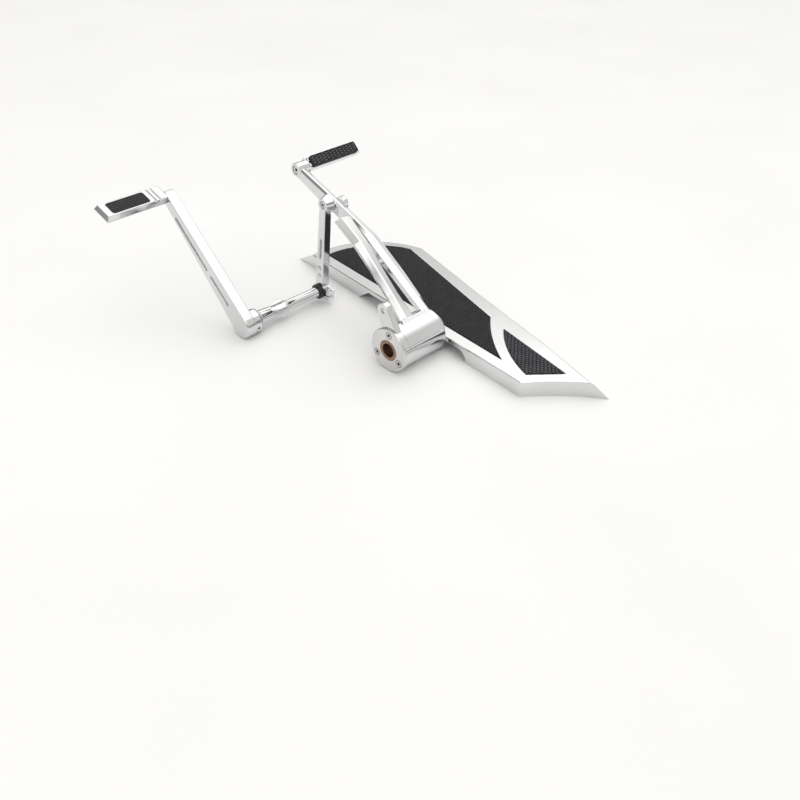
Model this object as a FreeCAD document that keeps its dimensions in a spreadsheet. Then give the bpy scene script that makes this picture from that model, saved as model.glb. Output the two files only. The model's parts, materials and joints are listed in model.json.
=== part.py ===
import FreeCAD, Part
import math
import os
import re
import Sketcher

V = FreeCAD.Vector
doc = FreeCAD.newDocument("ForwardControls")
sheet = doc.addObject("Spreadsheet::Sheet", "Sizes")

# Driving dimensions in millimetres and degrees. The brake pivot's outer end is the set's own datum.
sizes = {
    # the datum's place in the frame that the set rests in
    "datum_x": -42.965, "datum_y": -56.397,
    # floorboard: a hollow casting that tapers to a swallow tail behind
    "board_x": 89.1, "board_y": -100.7, "board_turn": -6.6,
    "deck_height": 20.5, "deck_skin": 5.0, "deck_wall": 4.0,
    "inboard_edge": -17.0, "deck_front": 368.7, "apron_run": 35.3, "deck_rear": -48.7,
    "front_corner_u": 117.4, "front_corner_v": 286.0, "front_arc": 112.4,
    "apron_corner_u": 127.0, "apron_corner_v": 314.7, "apron_arc": 126.3,
    "waist_u": 87.2, "waist_v": 123.7, "hip_u": 65.0, "hip_v": -8.6,
    "tail_u": 46.5, "tail_v": -101.0, "tail_arc": 276.0, "tip_u": 60.0, "tip_v": -117.0,
    "edge_round": 1.2,
    # scoop in the inboard skirt, and the slotted wall behind it
    "scoop_rear": 44.0, "scoop_front": 238.0, "scoop_top": 14.0, "scoop_depth": 14.0,
    "scoop_round": 12.0, "scoop_wall": 3.0, "scoop_ramp": 22.0,
    "window_rear": 60.0, "window_length": 20.0, "window_height": 6.5, "window_level": 8.0,
    # rubber pads of the floorboard
    "pad_front_v": 354.2, "pad_corner_u": 102.3, "pad_corner_v": 294.2, "pad_arc": 96.0,
    "pad_hip_u": 58.0, "pad_hip_v": 80.8, "pad_rear_arc": 280.0,
    "rear_pad_tip_u": 50.9, "rear_pad_tip_v": 48.7, "rear_pad_tail_u": 36.4, "rear_pad_tail_v": -68.6,
    "rear_pad_inner_u": -0.4, "rear_pad_inner_v": -40.8, "rear_pad_arc": 190.0,
    "pad_thick": 3.2, "pad_seat": 2.0, "pad_gap": 0.3,
    # bosses under the deck, with steel thread inserts for the support bolts
    "boss_radius": 8.0, "boss_drop": 5.5, "insert_radius": 5.2, "insert_bore": 3.4, "insert_length": 6.5,
    "insert_hole": 7.0, "support_u": 30.0, "support_rear_v": 20.0, "support_front_v": 240.0,
    # brake hub
    "hub_height": 28.5, "hub_radius": 27.0, "hub_length": 70.0, "plate_thick": 3.0, "plate_radius": 28.0,
    "collar_radius": 27.6, "collar_length": 8.0, "hub_chamfer": 1.5,
    "bush_outer": 13.4, "bush_bore": 9.05, "press_gap": 0.02, "left_bush": 28.0, "right_bush": 25.0,
    "screw_circle": 20.7, "screw_head": 4.4, "screw_head_depth": 2.2, "screw_shank": 2.4,
    "screw_length": 14.0, "screw_angle": 93.0, "screw_gap": 0.25, "screw_socket": 2.3,
    # brake arm: a long right beam with a shorter left leg
    "arm_slope": 34.8, "arm_top": 24.0, "arm_bend": 131.0, "head_reach": 270.7, "head_drop": -16.1,
    "head_radius": 8.6, "head_left": 64.9, "head_right": 83.6, "beam_left": 60.0, "beam_right": 79.5,
    "beam_ridge": 66.0, "ridge_width": 3.0, "bar_left": 65.5, "facet_drop": 6.5, "leg_end": 173.5,
    "arm_fall": 13.7, "beam_depth": 9.5, "arm_split": 168.0, "side_boss_reach": 198.0,
    "side_boss_drop": -1.0, "side_boss": 8.5, "side_boss_thick": 5.5, "bar_deep": 215.0, "bar_depth": 17.0,
    "head_depth": 13.6,
    "leg_left": 30.0, "leg_inner": 45.0, "leg_foot": 11.0, "leg_depth": 7.5, "leg_inner_drop": 2.2,
    "leg_outer_drop": 4.5,
    "leg_ridge": 1.6, "web_start": 127.0, "web_drop": 7.0, "web_thick": 4.0, "bar_reach": 18.0,
    "ear_thick": 8.0, "ear_reach": 49.2, "ear_angle": 42.0, "ear_round": 9.0, "ear_hole": 3.3,
    # brake pad
    "pad_tilt": 45.0, "foot_pad_length": 87.0, "foot_pad_width": 17.5, "foot_pad_base": 11.2,
    "foot_rubber_start": 6.0, "foot_rubber_length": 79.0, "foot_rubber_thick": 3.2, "foot_pad_offset": 2.0,
    "foot_pad_top": 3.8,
    "pad_bolt_radius": 2.8, "pad_bolt_length": 34.0, "pad_bolt_head": 5.6, "pad_bolt_head_depth": 4.6,
    # pivot shaft and its bracket
    "shaft_radius": 9.0, "shaft_start": 15.0, "ring_groove": 0.8, "ring_thick": 1.2, "ring_reach": 2.2,
    "washer_thick": 1.2, "washer_reach": 7.0, "side_gap": 0.2, "bracket_thick": 6.0, "bracket_boss": 18.0,
    "bracket_half": 15.0, "foot_low": 3.4, "foot_thick": 8.2, "foot_length": 50.0,
    "bolt_one": 25.0, "bolt_two": 41.0, "bolt_shank": 3.0, "bolt_head": 5.0, "bolt_head_depth": 3.0,
    "bolt_gap": 0.3, "boss_pad": 8.5,
    # shift shaft
    "shift_forward": 185.5, "shift_height": 16.8, "shift_shaft": 4.9, "tube_bore": 5.9, "tube_radius": 7.0,
    "running_gap": 0.05, "tube_left": -3.4, "tube_right": 49.6, "tube_bush": 16.0,
    "seal_start": 50.0, "seal_radius": 10.0,
    # toe arm
    "toe_face": -77.8, "toe_thick": 13.6, "toe_angle": 44.9, "toe_length": 188.0, "toe_big": 16.3,
    "toe_small": 7.5, "toe_hub_radius": 15.6, "toe_hub_end": -54.4, "toe_round": 1.4, "slot_depth": 4.0,
    "slot_width": 5.0, "slot_one": 84.0, "slot_one_length": 74.0, "slot_two": 32.0, "slot_two_length": 40.0,
    "toe_bore_end": -73.0,
    # scalloped collar between the toe arm and the tube
    "o_ring_thick": 1.2, "o_ring_radius": 15.0, "collar_end": -4.0, "collar_waist": 9.1, "collar_flare": 13.6,
    "collar_neck": 10.3, "scallop_radius": 16.0, "scallop_reach": 23.4, "scallop_angle": 80.0,
    # toe peg
    "peg_outer": -165.5, "peg_inner": -78.1, "peg_top": 24.0, "peg_foot": 30.0, "peg_thick": 7.0,
    "peg_tilt": 18.0, "peg_lift": 7.4, "peg_shift": 4.0, "peg_boss": 6.5, "peg_boss_reach": 20.0,
    "peg_rubber_length": 52.0, "peg_rubber_width": 20.0,
    "peg_rubber_start": 11.5, "peg_rubber_thick": 2.6, "peg_rubber_seat": 2.0, "peg_corner": 3.0,
    "peg_groove": 2.4, "peg_groove_depth": 1.4, "peg_groove_one": 69.0, "peg_groove_two": 75.0,
    "peg_bolt_radius": 2.5, "peg_bolt_reach": 16.0, "peg_bolt_head": 4.8, "peg_bolt_head_depth": 3.4,
    # inner arm
    "inner_face": 54.0, "inner_thick": 10.5, "inner_lean": 7.26, "inner_length": 128.2, "inner_big": 11.5,
    "inner_stem_low": 6.8, "inner_stem_high": 5.4,
    "inner_small": 8.0, "inner_flare": 11.4, "clamp_reach": 19.0, "clamp_half": 7.5, "clamp_slit": 2.0,
    "pinch_reach": 13.2, "pinch_radius": 2.6, "pinch_head": 4.2,
    "inner_slot": 51.0, "inner_slot_length": 26.0, "inner_slot_width": 4.4, "inner_pocket": 36.0,
    "inner_pocket_radius": 3.4, "inner_dimple": 25.0, "inner_dimple_radius": 2.6,
    "rod_bolt_radius": 3.0, "rod_bolt_head": 5.0, "rod_bolt_head_depth": 2.4,
}
for row, (name, value) in enumerate(sizes.items(), 1):
    sheet.set(f"A{row}", name)
    sheet.set(f"B{row}", str(value))
    sheet.setAlias(f"B{row}", name)
doc.recompute()

WORD = re.compile(r"[a-z][a-z_]+")


def ex(text):
    """An expression with its size names pointed at the sheet."""
    return WORD.sub(lambda m: "Sizes." + m.group() if m.group() in sizes else m.group(), str(text))


def num(text):
    value = sheet.evalExpression(ex(text))
    return float(getattr(value, "Value", value))


def bind(item, prop, text):
    item.setExpression(prop, ex(text))


def frame(item, label, place):
    """Puts a sub-part in its group's frame: base x, y, z, then the axis and angle of its turn."""
    x, y, z, axis, turn = place
    item.Label = label
    item.Placement = FreeCAD.Placement(V(num(x), num(y), num(z)), FreeCAD.Rotation(axis, 10))
    bind(item, "Placement.Base.x", x)
    bind(item, "Placement.Base.y", y)
    bind(item, "Placement.Base.z", z)
    bind(item, "Placement.Rotation.Angle", turn)
    parts.append(item)


parts = []
ALONG = V(1, 0, 0)
UP = V(0, 0, 1)
BOARD = ("datum_x + board_x", "datum_y + board_y", "0", UP, "board_turn")
HUB = ("datum_x", "datum_y", "hub_height", ALONG, "0")
ARM = ("datum_x", "datum_y", "hub_height", ALONG, "arm_slope")
SHIFT = ("datum_x", "datum_y + shift_forward", "shift_height", ALONG, "0")
TOE = ("datum_x", "datum_y + shift_forward", "shift_height", ALONG, "toe_angle")
INNER = ("datum_x", "datum_y + shift_forward", "shift_height", ALONG, "90 + inner_lean")


def body(label, place):
    item = doc.addObject("PartDesign::Body", label)
    frame(item, label, place)
    return item


def plane(owner, role):
    return next(o for o in owner.Origin.OriginFeatures if o.Role == role)


def sketch(owner, name, role, points, bulge=None, offset="0", turn="0"):
    """A closed outline. bulge gives a side's radius, positive where it swells out of a left-hand outline."""
    bulge = bulge or {}
    item = owner.newObject("Sketcher::SketchObject", name)
    item.AttachmentSupport = (plane(owner, role), [""])
    item.MapMode = "FlatFace"
    item.AttachmentOffset = FreeCAD.Placement(V(0, 0, num(offset)), FreeCAD.Rotation(UP, num(turn)))
    bind(item, "AttachmentOffset.Base.z", offset)
    bind(item, "AttachmentOffset.Rotation.Angle", turn)
    ends = [V(num(x), num(y), 0) for x, y in points]
    spans = []
    for i, start in enumerate(ends):
        stop = ends[(i + 1) % len(ends)]
        if i not in bulge:
            spans.append((item.addGeometry(Part.LineSegment(start, stop), False), 1, 2))
            continue
        radius = num(bulge[i])
        chord = stop - start
        out = V(chord.y, -chord.x, 0).normalize() * math.copysign(1, radius)
        reach = abs(radius) - math.sqrt(max(radius ** 2 - chord.Length ** 2 / 4, 0))
        middle = (start + stop) * 0.5 + out * reach
        swell = radius > 0
        arc = Part.Arc(start, middle, stop) if swell else Part.Arc(stop, middle, start)
        side = item.addGeometry(arc, False)
        spans.append((side, 1, 2) if swell else (side, 2, 1))
        rule = item.addConstraint(Sketcher.Constraint("Radius", side, abs(radius)))
        bind(item, f"Constraints[{rule}]", f"abs({bulge[i]})")
    for i, (side, head, tail) in enumerate(spans):
        after, after_head, _ = spans[(i + 1) % len(spans)]
        item.addConstraint(Sketcher.Constraint("Coincident", side, tail, after, after_head))
        u, v = points[i]
        for kind, text, value in (("DistanceX", u, ends[i].x), ("DistanceY", v, ends[i].y)):
            rule = item.addConstraint(Sketcher.Constraint(kind, -1, 1, side, head, value))
            bind(item, f"Constraints[{rule}]", text)
    return item


def disc(owner, name, role, centre, radius, offset="0", turn="0"):
    """A round outline."""
    item = owner.newObject("Sketcher::SketchObject", name)
    item.AttachmentSupport = (plane(owner, role), [""])
    item.MapMode = "FlatFace"
    item.AttachmentOffset = FreeCAD.Placement(V(0, 0, num(offset)), FreeCAD.Rotation(UP, num(turn)))
    bind(item, "AttachmentOffset.Base.z", offset)
    bind(item, "AttachmentOffset.Rotation.Angle", turn)
    x, y = (num(c) for c in centre)
    item.addGeometry(Part.Circle(V(x, y, 0), UP, num(radius)), False)
    rule = item.addConstraint(Sketcher.Constraint("Radius", 0, num(radius)))
    bind(item, f"Constraints[{rule}]", radius)
    for kind, text, value in (("DistanceX", centre[0], x), ("DistanceY", centre[1], y)):
        rule = item.addConstraint(Sketcher.Constraint(kind, -1, 1, 0, 3, value))
        bind(item, f"Constraints[{rule}]", text)
    return item


def extrude(owner, kind, outline, length, back=False):
    item = owner.newObject("PartDesign::" + kind, kind)
    item.Profile = outline
    item.Reversed = back
    bind(item, "Length", length)
    outline.Visibility = False
    return item


def pad(owner, outline, length, back=False):
    return extrude(owner, "Pad", outline, length, back)


def cut(owner, outline, length, back=True):
    """A pocket that runs the way its outline's plane faces."""
    return extrude(owner, "Pocket", outline, length, back)


def loft(owner, kind, outlines):
    item = owner.newObject("PartDesign::" + kind, kind)
    item.Profile = outlines[0]
    item.Sections = outlines[1:]
    item.Ruled = True
    return item


def turn_about_x(owner, kind, points, bulge=None):
    """Turns a half outline of x and radius about the x axis."""
    outline = sketch(owner, kind + "Outline", "XY_Plane", points, bulge)
    item = owner.newObject("PartDesign::" + kind, kind)
    item.Profile = outline
    item.ReferenceAxis = (outline, ["H_Axis"])
    item.Angle = 360
    return item


def turned(label, place, points, bulge=None):
    item = body(label, place)
    turn_about_x(item, "Revolution", points, bulge)
    return item


def ring(label, place, start, stop, inner, outer):
    return turned(label, place, [(start, inner), (stop, inner), (stop, outer), (start, outer)])


def screw(label, place, start, head_depth, length, head, shank, socket):
    """A cap screw that runs along +x from its head's face, with a blind socket in the head."""
    under = f"{start} + {head_depth}"
    tip = f"{start} + {length}"
    floor = f"{start} + {head_depth} * 0.7"
    return turned(label, place, [
        (floor, "0"), (tip, "0"), (tip, f"{shank} - 0.4"), (f"{tip} - 0.4", shank), (under, shank),
        (under, head),
        (f"{start} + 0.4", head), (start, f"{head} - 0.4"), (start, socket), (floor, socket)])


def round_edges(owner, radius, chosen):
    """Rounds the edges of the last feature that chosen accepts."""
    doc.recompute()
    last = owner.Tip
    names = [f"Edge{i}" for i, edge in enumerate(last.Shape.Edges, 1) if chosen(edge)]
    item = owner.newObject("PartDesign::Fillet", "Fillet")
    item.Base = (last, names)
    bind(item, "Radius", radius)
    return item


def link(length, big, small):
    """The outline of a bar with two round ends joined by tangent sides, and its arcs."""
    lean = f"asin(({big} - {small}) / ({length}))"
    across = [(f"({big}) * sin({lean})", f"({big}) * cos({lean})"),
              (f"{length} + ({small}) * sin({lean})", f"({small}) * cos({lean})")]
    (bx, by), (sx, sy) = across
    points = [(f"-({big})", "0"), (bx, f"-({by})"), (sx, f"-({sy})"), (f"{length} + ({small})", "0"),
              (sx, sy), (bx, by)]
    return points, {0: big, 2: small, 3: small, 5: big}


# Floorboard deck
deck = body("floorboard_deck", BOARD)


def deck_outline(name, offset, inset, apron):
    """The deck's plan, at its top or at the floor, drawn inset by a wall."""
    front = ("front_corner_u", "front_corner_v", "deck_front", "front_arc", "tail_u", "tail_v")
    if apron:
        front = ("apron_corner_u", "apron_corner_v", "deck_front + apron_run", "apron_arc", "tip_u", "tip_v")
    corner_u, corner_v, nose, arc, tail_u, tail_v = front
    points = [
        (f"inboard_edge + {inset}", f"deck_rear + {inset} * 1.5"),
        (f"{tail_u} - {inset} * 1.8", f"{tail_v} + {inset} * 3"),
        (f"hip_u - {inset}", "hip_v"),
        (f"waist_u - {inset}", "waist_v"),
        (f"{corner_u} - {inset} * 1.2", f"{corner_v} - {inset} * 0.6"),
        (f"inboard_edge + {inset}", f"{nose} - {inset}")]
    return sketch(deck, name, "XY_Plane", points, {0: "-tail_arc", 4: f"{arc} - {inset}"}, offset)


loft(deck, "AdditiveLoft", [deck_outline("FloorLine", "0", "0", True),
                            deck_outline("ShoulderLine", "deck_height - edge_round", "0", False),
                            deck_outline("TopLine", "deck_height", "edge_round * 0.8", False)])
loft(deck, "SubtractiveLoft", [deck_outline("RimLine", "0", "deck_wall", True),
                               deck_outline("RoofLine", "deck_height - deck_skin", "deck_wall", False)])


def main_pad_points(grow):
    return [(f"-{grow}", f"-{grow} * 3"), (f"pad_hip_u + {grow} * 1.4", f"pad_hip_v - {grow}"),
            (f"pad_corner_u + {grow}", f"pad_corner_v"), (f"-{grow}", f"pad_front_v + {grow}")], \
        {0: "-pad_rear_arc", 2: f"pad_arc + {grow}"}


def rear_pad_points(grow):
    return [(f"rear_pad_inner_u - {grow}", f"rear_pad_inner_v - {grow}"),
            (f"rear_pad_tail_u + {grow}", f"rear_pad_tail_v - {grow}"),
            (f"rear_pad_tip_u + {grow}", f"rear_pad_tip_v + {grow} * 2")], {2: "rear_pad_arc"}


for name, shape in (("MainSeat", main_pad_points), ("RearSeat", rear_pad_points)):
    points, bulge = shape("pad_gap")
    cut(deck, sketch(deck, name, "XY_Plane", points, bulge, "deck_height - pad_seat"), "pad_seat + 1")

# scoop in the inboard skirt, seen from the side as v and height
cut(deck, sketch(deck, "Scoop", "YZ_Plane", [
    ("scoop_rear", "-1"), ("scoop_front + scoop_ramp", "-1"), ("scoop_front", "scoop_top"),
    ("scoop_rear + scoop_round", "scoop_top"), ("scoop_rear", "scoop_top - scoop_round")],
    {3: "scoop_round * 1.2"}, "inboard_edge - 1"), "deck_wall + 2")
pad(deck, sketch(deck, "ScoopWall", "YZ_Plane", [
    ("scoop_rear - deck_wall", "0"), ("scoop_front + scoop_ramp", "0"),
    ("scoop_front + scoop_ramp", "deck_height - deck_skin + 0.5"),
    ("scoop_rear - deck_wall", "deck_height - deck_skin + 0.5")],
    None, "inboard_edge + scoop_depth"), "scoop_wall")
cut(deck, sketch(deck, "Window", "YZ_Plane", [
    ("window_rear", "window_level - window_height / 2"),
    ("window_rear + window_length", "window_level - window_height / 2"),
    ("window_rear + window_length", "window_level + window_height / 2"),
    ("window_rear", "window_level + window_height / 2")],
    {1: "window_height / 2 + 0.01", 3: "window_height / 2 + 0.01"},
    "inboard_edge + scoop_depth - 1"), "scoop_wall + 2")

# the scoop's wall ends in a closing web at the rear
pad(deck, sketch(deck, "ScoopEnd", "YZ_Plane", [
    ("scoop_rear - deck_wall", "0"), ("scoop_rear - 0.5", "0"),
    ("scoop_rear - 0.5", "deck_height - deck_skin + 0.5"),
    ("scoop_rear - deck_wall", "deck_height - deck_skin + 0.5")], None, "inboard_edge + 1"), "scoop_depth")

# way through the scoop's wall for the pivot bracket's foot
ALONG_BOARD = "((({0}) - board_x) * cos(board_turn) + (({1}) - board_y) * sin(board_turn))"
ACROSS_BOARD = "((({1}) - board_y) * cos(board_turn) - (({0}) - board_x) * sin(board_turn))"
bracket_face = "plate_thick + hub_length + washer_thick + side_gap"
cut(deck, sketch(deck, "FootWay", "YZ_Plane", [
    (ACROSS_BOARD.format(bracket_face, "-bracket_half") + " - 3", "-1"),
    (ACROSS_BOARD.format(bracket_face, "bracket_half") + " + 5", "-1"),
    (ACROSS_BOARD.format(bracket_face, "bracket_half") + " + 5", "foot_low + foot_thick + 1"),
    (ACROSS_BOARD.format(bracket_face, "-bracket_half") + " - 3", "foot_low + foot_thick + 1")],
    None, "inboard_edge + scoop_depth - 1"), "scoop_wall + 2")

# bosses under the deck, tapped from below
roof = "deck_height - deck_skin + 0.5"
for name, reach in (("BracketBossOne", "bolt_one"), ("BracketBossTwo", "bolt_two")):
    spot = (ALONG_BOARD.format(f"{bracket_face} + {reach}", "0"),
        ACROSS_BOARD.format(f"{bracket_face} + {reach}", "0"))
    pad(deck, disc(deck, name, "XY_Plane", spot, "boss_pad", "foot_low + foot_thick"),
        f"{roof} - foot_low - foot_thick")
    cut(deck, disc(deck, name + "Tap", "XY_Plane", spot, "bolt_shank + 0.02", "foot_low + foot_thick - 1"),
        "6")
boss_face = "deck_height - deck_skin - boss_drop"
for label, row in (("support_insert_rear", "support_rear_v"), ("support_insert_front", "support_front_v")):
    spot = ("support_u", row)
    pad(deck, disc(deck, label + "_boss", "XY_Plane", spot, "boss_radius", boss_face), "boss_drop + 0.5")
    cut(deck, disc(deck, label + "_hole", "XY_Plane", spot, "insert_radius + press_gap", f"{boss_face} - 1"),
        "insert_hole + 1")
    insert = body(label, BOARD)
    pad(insert, disc(insert, "Outer", "XY_Plane", spot, "insert_radius", boss_face), "insert_length")
    cut(insert, disc(insert, "Thread", "XY_Plane", spot, "insert_bore", f"{boss_face} - 1"),
        "insert_length + 2")

# Rubber pads
for label, shape in (("main_pad", main_pad_points), ("rear_pad", rear_pad_points)):
    item = body(label, BOARD)
    points, bulge = shape("0")
    pad(item, sketch(item, "Outline", "XY_Plane", points, bulge, "deck_height - pad_seat"), "pad_thick")

# Brake pivot: shaft, washer, snap ring and the bracket that carries them
bracket = body("pivot_bracket", HUB)
pad(bracket, sketch(bracket, "Plate", "YZ_Plane", [
    ("-bracket_half", "foot_low - hub_height"), ("bracket_half", "foot_low - hub_height"),
    ("bracket_half", "-sqrt(bracket_boss ^ 2 - bracket_half ^ 2)"), ("bracket_boss", "0"),
    ("0", "bracket_boss"),
    ("-bracket_boss", "0"), ("-bracket_half", "-sqrt(bracket_boss ^ 2 - bracket_half ^ 2)")],
    {2: "bracket_boss", 3: "bracket_boss", 4: "bracket_boss", 5: "bracket_boss"}, bracket_face),
        "bracket_thick")
pad(bracket, sketch(bracket, "Foot", "XZ_Plane", [
    (bracket_face, "foot_low - hub_height"), (f"{bracket_face} + foot_length", "foot_low - hub_height"),
    (f"{bracket_face} + foot_length", "foot_low + foot_thick - hub_height"),
    (bracket_face, "foot_low + foot_thick - hub_height")], None, "-bracket_half"), "bracket_half * 2")
cut(bracket, disc(bracket, "ShaftBore", "YZ_Plane", ("0", "0"), "shaft_radius + press_gap",
    f"{bracket_face} - 1"),
    "bracket_thick + 2")
for name, reach in (("One", "bolt_one"), ("Two", "bolt_two")):
    spot = (f"{bracket_face} + {reach}", "0")
    cut(bracket, disc(bracket, "Hole" + name, "XY_Plane", spot, "bolt_shank + bolt_gap", "-hub_height"),
        "hub_height")
    cut(bracket, disc(bracket, "Sink" + name, "XY_Plane", spot, "bolt_head + bolt_gap", "-hub_height"),
        "foot_low + bolt_head_depth + bolt_gap")
shaft_end = f"{bracket_face} + bracket_thick"
ring_start = "plate_thick + hub_length - right_bush - side_gap - ring_thick"
groove = "shaft_radius - ring_groove"
turned("pivot_shaft", HUB, [
    ("shaft_start", "0"), (shaft_end, "0"), (shaft_end, "shaft_radius"),
    (f"{ring_start} + ring_thick + side_gap / 2", "shaft_radius"),
    (f"{ring_start} + ring_thick + side_gap / 2", groove),
    (f"{ring_start} - side_gap / 2", groove), (f"{ring_start} - side_gap / 2", "shaft_radius"),
    ("shaft_start + 1", "shaft_radius"), ("shaft_start", "shaft_radius - 1")])
ring("pivot_snap_ring", HUB, ring_start, f"{ring_start} + ring_thick", f"{groove} + press_gap",
     f"{groove} + press_gap + ring_reach")
ring("pivot_washer", HUB, "plate_thick + hub_length + side_gap / 2", f"{bracket_face} - side_gap / 2",
     "shaft_radius + 0.3", "shaft_radius + washer_reach")

# Brake hub's face plate, bushes and screws
plate = turned("hub_face_plate", HUB, [
    ("0", "bush_outer + press_gap"), ("plate_thick", "bush_outer + press_gap"),
    ("plate_thick", "plate_radius"),
    ("0.8", "plate_radius"), ("0", "plate_radius - 0.8")])
screw_spots = [f"screw_angle + {120 * i}" for i in range(3)]
for i, angle in enumerate(screw_spots, 1):
    spot = (f"screw_circle * cos({angle})", f"screw_circle * sin({angle})")
    cut(plate, disc(plate, f"Sink{i}", "YZ_Plane", spot, "screw_head + screw_gap", "-1"),
        "screw_head_depth + 1")
    cut(plate, disc(plate, f"Hole{i}", "YZ_Plane", spot, "screw_shank + screw_gap", "0"), "plate_thick + 1")
    place = ("datum_x", f"datum_y + screw_circle * cos({angle})",
        f"hub_height + screw_circle * sin({angle})", ALONG, "0")
    screw(f"face_screw_{i}", place, "0", "screw_head_depth", "screw_length", "screw_head", "screw_shank",
        "screw_socket")
ring("pivot_bush_left", HUB, "0", "left_bush", "bush_bore", "bush_outer")
ring("pivot_bush_right", HUB, "plate_thick + hub_length - right_bush", "plate_thick + hub_length",
    "bush_bore",
     "bush_outer")

# Brake arm: barrel, two legs and the head, cast in one
arm = body("brake_pedal_arm", ARM)
hub_end = "plate_thick + hub_length"
turn_about_x(arm, "Revolution", [
    ("plate_thick", "0"), (hub_end, "0"), (hub_end, "hub_radius - hub_chamfer"),
    (f"{hub_end} - hub_chamfer", "hub_radius"), ("plate_thick + collar_length + 0.6", "hub_radius"),
    ("plate_thick + collar_length", "collar_radius"), ("plate_thick", "collar_radius")])


def beam_section(name, reach, left, right, ridge, top, low):
    """The right beam's section: a flat left side, a narrow ridge and a facet that falls to the right."""
    return sketch(arm, name, "XZ_Plane", [
        (left, low), (right, low), (right, f"{top} - facet_drop"), (f"{ridge} + ridge_width", top),
        (ridge, top),
        (left, f"{top} - facet_drop * 0.45")], None, f"-({reach})")


def leg_section(name, reach, left, ridge, right, top):
    """The left leg's section: a steep left facet, a narrow ridge and a gentle facet towards the beam."""
    return sketch(arm, name, "XZ_Plane", [
        (left, f"{top} - leg_depth"), (right, f"{top} - leg_depth"), (right, f"{top} - leg_inner_drop"),
        (f"{ridge} + leg_ridge", top), (ridge, top), (left, f"{top} - leg_outer_drop")], None, f"-({reach})")


upper = "(arm_top - (({0}) - arm_bend) * tan(arm_fall))"
beam = [
    beam_section("Beam0", "-16", "beam_left", hub_end, "beam_ridge", "arm_top - 1", "arm_top - beam_depth"),
    beam_section("Beam1", "11", "beam_left", hub_end, "beam_ridge", "arm_top", "arm_top - beam_depth"),
    beam_section("BeamHip", "26", "beam_left", f"{hub_end} + 3.4", "beam_ridge", "arm_top",
        "arm_top - beam_depth"),
    beam_section("Beam2", "72", "beam_left", "beam_right - 0.5", "beam_ridge", "arm_top",
        "arm_top - beam_depth"),
    beam_section("Beam3", "arm_bend", "beam_left", "beam_right", "beam_ridge", "arm_top",
        "arm_top - beam_depth - 3"),
    beam_section("Beam4", "arm_split", "bar_left", "beam_right + 0.5", "beam_ridge + 1.5",
        upper.format("arm_split"),
                 upper.format("arm_split") + " - beam_depth - 6"),
    beam_section("Beam5", "bar_deep", "bar_left", "beam_right + 1", "beam_ridge + 2",
        upper.format("bar_deep"),
                 upper.format("bar_deep") + " - bar_depth"),
    beam_section("Beam6", "head_reach - 6", "bar_left", "beam_right + 1", "beam_ridge + 2",
                 upper.format("head_reach - 6"), upper.format("head_reach - 6") + " - head_depth")]
loft(arm, "AdditiveLoft", beam)
leg = [
    leg_section("Leg0", "-2", "leg_foot", "leg_foot + 5", "40", "arm_top - 1"),
    leg_section("Leg1", "19", "leg_left - 4", "leg_left + 2", "leg_inner", "arm_top"),
    leg_section("Leg2", "53", "leg_left + 1.5", "leg_left + 7", "leg_inner + 2", "arm_top"),
    leg_section("Leg3", "88", "leg_left + 6", "leg_left + 10.5", "leg_inner + 6.5", "arm_top"),
    leg_section("Leg4", "arm_bend", "leg_left + 9", "leg_left + 16", "leg_inner + 13", "arm_top"),
    leg_section("Leg5", "leg_end", "leg_left + 16.5", "leg_left + 24", "bar_left + 1.5",
        upper.format("leg_end"))]
loft(arm, "AdditiveLoft", leg)
web = [sketch(arm, f"Web{i}", "XZ_Plane", [
    ("leg_inner + 5", f"{top} - web_drop - web_thick"), ("bar_left + 2", f"{top} - web_drop - web_thick"),
    ("bar_left + 2", f"{top} - web_drop"), ("leg_inner + 5", f"{top} - web_drop")], None, f"-({reach})")
    for i, (reach, top) in enumerate((("web_start", "arm_top"),
        ("leg_end - 2", upper.format("leg_end - 2"))))]
loft(arm, "AdditiveLoft", web)
pad(arm, sketch(arm, "Bar", "XZ_Plane", [
    ("leg_left - 6", "arm_top - 14"), ("beam_left + 3", "arm_top - 14"), ("beam_left + 3", "arm_top"),
    ("leg_left - 6", "arm_top")], None, "-(bar_reach)"), "bar_reach")
pad(arm, disc(arm, "Head", "YZ_Plane", ("head_reach", "head_drop"), "head_radius", "head_left"),
    "head_right - head_left")
pad(arm, disc(arm, "SideBoss", "YZ_Plane", ("side_boss_reach", "side_boss_drop"), "side_boss",
    "beam_right - 1"),
    "side_boss_thick + 1")
ear = ("ear_reach * cos(ear_angle)", "ear_reach * sin(ear_angle)")
pad(arm, sketch(arm, "Ear", "YZ_Plane", [
    ("4", "18"), ("27.3", "14"), (f"{ear[0]} + ear_round * sin(ear_angle)",
        f"{ear[1]} - ear_round * cos(ear_angle)"),
    (f"{ear[0]} + ear_round * cos(ear_angle)", f"{ear[1]} + ear_round * sin(ear_angle)"),
    (f"{ear[0]} - ear_round * sin(ear_angle)", f"{ear[1]} + ear_round * cos(ear_angle)"), ("3.8", "26.2")],
    {2: "ear_round", 3: "ear_round"}, "plate_thick"), "ear_thick")
cut(arm, disc(arm, "EarHole", "YZ_Plane", ear, "ear_hole", "plate_thick - 1"), "ear_thick + 2")
cut(arm, disc(arm, "Bore", "YZ_Plane", ("0", "0"), "bush_outer + press_gap", "plate_thick - 1"),
    "hub_length + 2")
cut(arm, disc(arm, "PadBoltHole", "YZ_Plane", ("head_reach", "head_drop"), "pad_bolt_radius + press_gap",
              "head_left - 1"), "head_right - head_left + 2")
cut(arm, disc(arm, "PadBoltSink", "YZ_Plane", ("head_reach", "head_drop"), "pad_bolt_head + 0.2",
    "head_left - 1"),
    "pad_bolt_head_depth + 2.05")
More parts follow.
